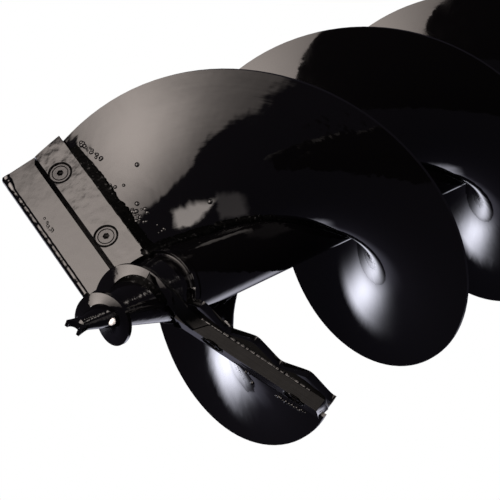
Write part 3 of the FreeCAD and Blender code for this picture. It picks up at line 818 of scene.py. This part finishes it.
def pilot_flight_run():
    """End of the pilot flight, running on into the leading side of clamp bar B."""
    bar = BARS["b"]
    along = bar.to_3x3() @ Vector((1, 0, 0))
    lead = bar.to_3x3() @ Vector((0, 1, 0))
    leave = 30
    rim_radius = 28.7 * MM
    x = pilot_flight_x(leave)
    turn = math.radians(leave)
    slope = Vector((pilot_flight_slope(leave), -rim_radius * math.cos(turn), -rim_radius * math.sin(turn)))
    rim_start = around(x - 0.2 * MM, rim_radius, leave)
    root_start = around(x - 0.2 * MM, cone_radius(x) + 0.5 * MM, leave)
    rim_end = bar @ Vector((55 * MM, 3.6 * MM, -BAR_THICKNESS))
    root_end = bar @ Vector((46 * MM, 0.35 * MM, 0.2 * MM))
    thickness = 3.6 * MM
    columns = 6
    steps = 40
    sections = []
    for step in range(steps + 1):
        share = step / steps
        rim = hermite(rim_start, slope, rim_end, along, share)
        root = hermite(root_start, slope, root_end, along, share)
        further = min(1.0, share + 0.02)
        heading = hermite(rim_start, slope, rim_end, along, further) - rim
        if step == steps:
            heading = along
        behind = (rim - root).cross(heading).normalized()
        if behind.dot(lead) > 0:
            behind = -behind
        angle = math.degrees(math.atan2(-root.y, root.z))
        on_cone = around(root.x + 3 * MM, cone_radius(root.x) - 1.5 * MM, angle)
        in_bar = root - 4 * MM * lead
        foot = on_cone.lerp(in_bar, smoothstep(share, 0.35, 0.8))
        inset = (root - rim).normalized() * 0.6 * MM
        front = [rim + inset]
        front += [rim.lerp(root, column / (columns - 1)) for column in range(1, columns)]
        back = [foot, root + thickness * behind, rim + thickness * behind + inset]
        back += [rim + (thickness - 0.8 * MM) * behind, rim + 0.6 * MM * behind]
        sections.append(front + back)
    add_piece("pilot_flight_run", *loft(sections), BAR_ENAMEL["b"])


def pilot_fillet():
    """Weld fillet between the pilot cone and the front of the flight's last turn."""
    sections = []
    first_angle = -75
    angle_step = 1.1
    for step in range(150):
        angle = first_angle + step * angle_step
        x = pilot_flight_x(angle)
        marker = around(x, 20 * MM, angle)
        size = (0.8 + 4.2 * smoothstep(angle, -60, 10)) * MM
        size *= 1 + 0.07 * rough(marker, 5 * MM, 2) + 0.05 * rough(marker, 2 * MM, 4)
        crest = cone_radius(x) + 0.75 * size
        toe = cone_radius(x - size)
        middle = cone_radius(x - 0.45 * size) + 0.20 * size + 0.25 * MM * rough(marker, 2.5 * MM, 7)
        sections.append([
            around(x + 0.6 * MM, crest, angle),
            around(x - 0.1 * size, crest - 0.15 * size, angle),
            around(x - 0.45 * size, middle, angle),
            around(x - 0.92 * size, toe + 0.45 * MM, angle),
            around(x - size, toe - 0.3 * MM, angle),
            around(x, cone_radius(x) - 1.2 * MM, angle),
        ])
    # Near-black enamel with painted shade in the joint.
    add_piece("pilot_fillet", *loft(sections), WELD_AND_SHADE_ENAMEL)


def pilot_collar():
    """Welded and dressed collar where the pilot is set into the tube, dented at one side."""
    dent_start = 55
    dent_end = 84
    plain_edge = ((-4.0, 0.3), (-3.95, 0.25), (-3.8, 0.15), (-3.6, 0.05), (-3.5, 0.0))
    dented_edge = ((-4.0, 3.9), (-3.8, 2.6), (-3.2, 2.3), (-2.8, 0.3), (-2.5, 0.0))
    sections = []
    steps = 260
    for step in range(steps):
        angle = 360 * step / steps
        marker = around(0, 27 * MM, angle)
        uneven = 0.30 * rough(marker, 9 * MM, 2) + 0.12 * rough(marker, 3 * MM, 5)
        dent = smoothstep(angle, dent_start, dent_start + 4) - smoothstep(angle, dent_end - 4, dent_end)
        scuff = 0.2 * dent * rough(marker, 3 * MM, 7)
        undercut = 1.6 * (1 - dent)
        crest = 28.7 + uneven
        outline = [(-3.2, 22.5), (-3.9 + undercut, 24.7)]
        for plain, dented in zip(plain_edge, dented_edge):
            x, drop = Vector(plain).lerp(Vector(dented), dent)
            outline.append((x + scuff, crest - drop))
        outline += [(1.6, crest), (4.2 + uneven, 28.25), (5.0, 26.8)]
        sections.append([around(TUBE_FRONT + x * MM, radius * MM, angle) for x, radius in outline])
    add_piece("pilot_collar", *loft(sections, ring=True), FORGED, smooth=False)


def pilot_bumps():
    """Row of small weld drops up the side of the cone."""
    beads = []
    count = 8
    for step in range(count):
        share = step / (count - 1)
        x = PILOT_TIP + (10.5 + 13 * share) * MM
        angle = 36 + 21 * share
        place = around(x, cone_radius(x), angle)
        radius = (0.7 + 0.25 * math.sin(5 * step)) * MM
        beads.append(dome(place, around(0, 1, angle), radius, 0.6 * MM, step))
    add_piece("pilot_bumps", *joined(beads), WELD)


def bare_drop_highlight():
    """Round drop of bare weld on the cone, beside the first turn of the pilot flight, in near-white steel
    as a painted highlight.
    """
    angle = 110.5
    x = PILOT_TIP + 33.4 * MM
    radius = 2.9 * MM
    height = 2.5 * MM
    sunk = 0.3 * MM
    normal = around(0, 1, angle)
    centre = around(x, cone_radius(x) - sunk, angle)
    drop = dome(centre, normal, radius, height, 1.0, rings=8, sides=20)
    add_piece("bare_drop_highlight", *drop, STEEL_AND_HIGHLIGHT, slot="zinc_steel")


# ---------------------------------------------------------------- bars, blades and screws


def ring_bead(bar, along, radius, minor, height):
    """Uneven round bead about a screw's axis, with sizes in millimetres in its bar's frame."""
    steps = 64
    sides = 8
    up = Vector((0, 0, 1))
    sections = []
    for step in range(steps):
        turn = 2 * math.pi * step / steps
        spoke = Vector((math.cos(turn), math.sin(turn), 0))
        centre = Vector((along, -SCREW_SETBACK, height)) + radius * spoke
        thick = minor * (1 + 0.2 * rough(centre * MM, 3 * MM, along))
        section = []
        for side in range(sides):
            roll = 2 * math.pi * side / sides
            offset = thick * (math.cos(roll) * spoke + math.sin(roll) * up)
            section.append(bar @ ((centre + offset) * MM))
        sections.append(section)
    return loft(sections, ring=True)


def screw_shade_rings():
    """Round every countersunk head: a dark bead as painted shade for the gap round it, the turned ring on
    the head in the same near-black, and a dark plug in its socket as painted shade.
    """
    beads = []
    socket_floor = -4.25
    for bar in BARS.values():
        up = bar.to_3x3() @ Vector((0, 0, 1))
        for along in SCREW_STATIONS:
            floor = bar @ (Vector((along, -SCREW_SETBACK, socket_floor)) * MM)
            # Painted shade in the socket: a dark plug on its floor.
            beads.append(dome(floor, up, 2.4 * MM, 0.4 * MM, along))
            # Painted shade for the gap round the head.
            beads.append(ring_bead(bar, along, radius=9.0, minor=0.85, height=-0.20))
            # The turned ring on the head, also near-black.
            beads.append(ring_bead(bar, along, radius=6.3, minor=0.36, height=-0.26))
    add_piece("screw_shade_rings", *joined(beads), WELD_AND_SHADE_ENAMEL)


def blade_sag():
    """Paint run thick along the straight blade's ground edge, with a blob at its outer corner."""
    bar = BARS["a"]
    sections = []
    start = 36
    end = 167
    steps = 220
    for step in range(steps + 1):
        x = start + (end - start) * step / steps
        marker = Vector((x, 0, 0))
        foot = 26.0 + 0.25 * rough(marker, 6, 1) + 0.2 * rough(marker, 2, 2)
        blob = smoothstep(x, 152, 160)
        rise = 0.75 + 0.15 * rough(marker, 5, 3) + 0.8 * blob * (1 + 0.5 * rough(marker, 2.5, 4))
        foot -= 2.5 * blob * (1 + 0.4 * rough(marker, 3, 5))
        outline = [(foot, -10.3), (foot + 0.9, -10.05 + rise), (29.6, -10.1 + rise), (31.1, -11.4),
                   (31.4, -13.5), (31.0, -15.2), (28.0, -14.2)]
        sections.append([bar @ (Vector((x, y, z)) * MM) for y, z in outline])
    drops = []
    draw = random.Random(8)
    normal = bar.to_3x3() @ Vector((0, 0, 1))
    for _ in range(11):
        place = bar @ (Vector((draw.uniform(99, 114), draw.uniform(20.4, 23.2), -10.05)) * MM)
        radius = draw.uniform(0.6, 1.3)
        drops.append(dome(place, normal, radius * MM, 0.7 * radius * MM, radius))
    add_piece("blade_sag", *joined([loft(sections)] + drops), BLADE_ENAMEL["a"])


def round_edges(name, width):
    """Break a CAD node's sharp edges with a small rounding."""
    node = nodes[name]
    weld = node.modifiers.new("weld", "WELD")
    weld.merge_threshold = 0.001 * MM
    merge = node.modifiers.new("merge_flat_faces", "DECIMATE")
    merge.decimate_type = "DISSOLVE"
    merge.angle_limit = math.radians(0.5)
    bevel = node.modifiers.new("rounding", "BEVEL")
    bevel.width = width
    bevel.segments = 2
    bevel.limit_method = "ANGLE"
    bevel.angle_limit = math.radians(40)
    bevel.harden_normals = True


# ---------------------------------------------------------------- build

add_camera()
add_floor()
add_studio_light()
dress_cad_nodes()
root_welds()
bar_weld("a", 149 * MM)
bar_weld("b", 142 * MM)
spatter()
pilot_flight_run()
pilot_fillet()
pilot_collar()
pilot_bumps()
bare_drop_highlight()
screw_shade_rings()
blade_sag()
for bar_or_blade in ("clamp_bar_a", "clamp_bar_b", "straight_blade", "toothed_blade"):
    round_edges(bar_or_blade, 0.6 * MM)
seam_weld("b", 143 * MM)

bpy.context.scene.view_settings.view_transform = "Standard"
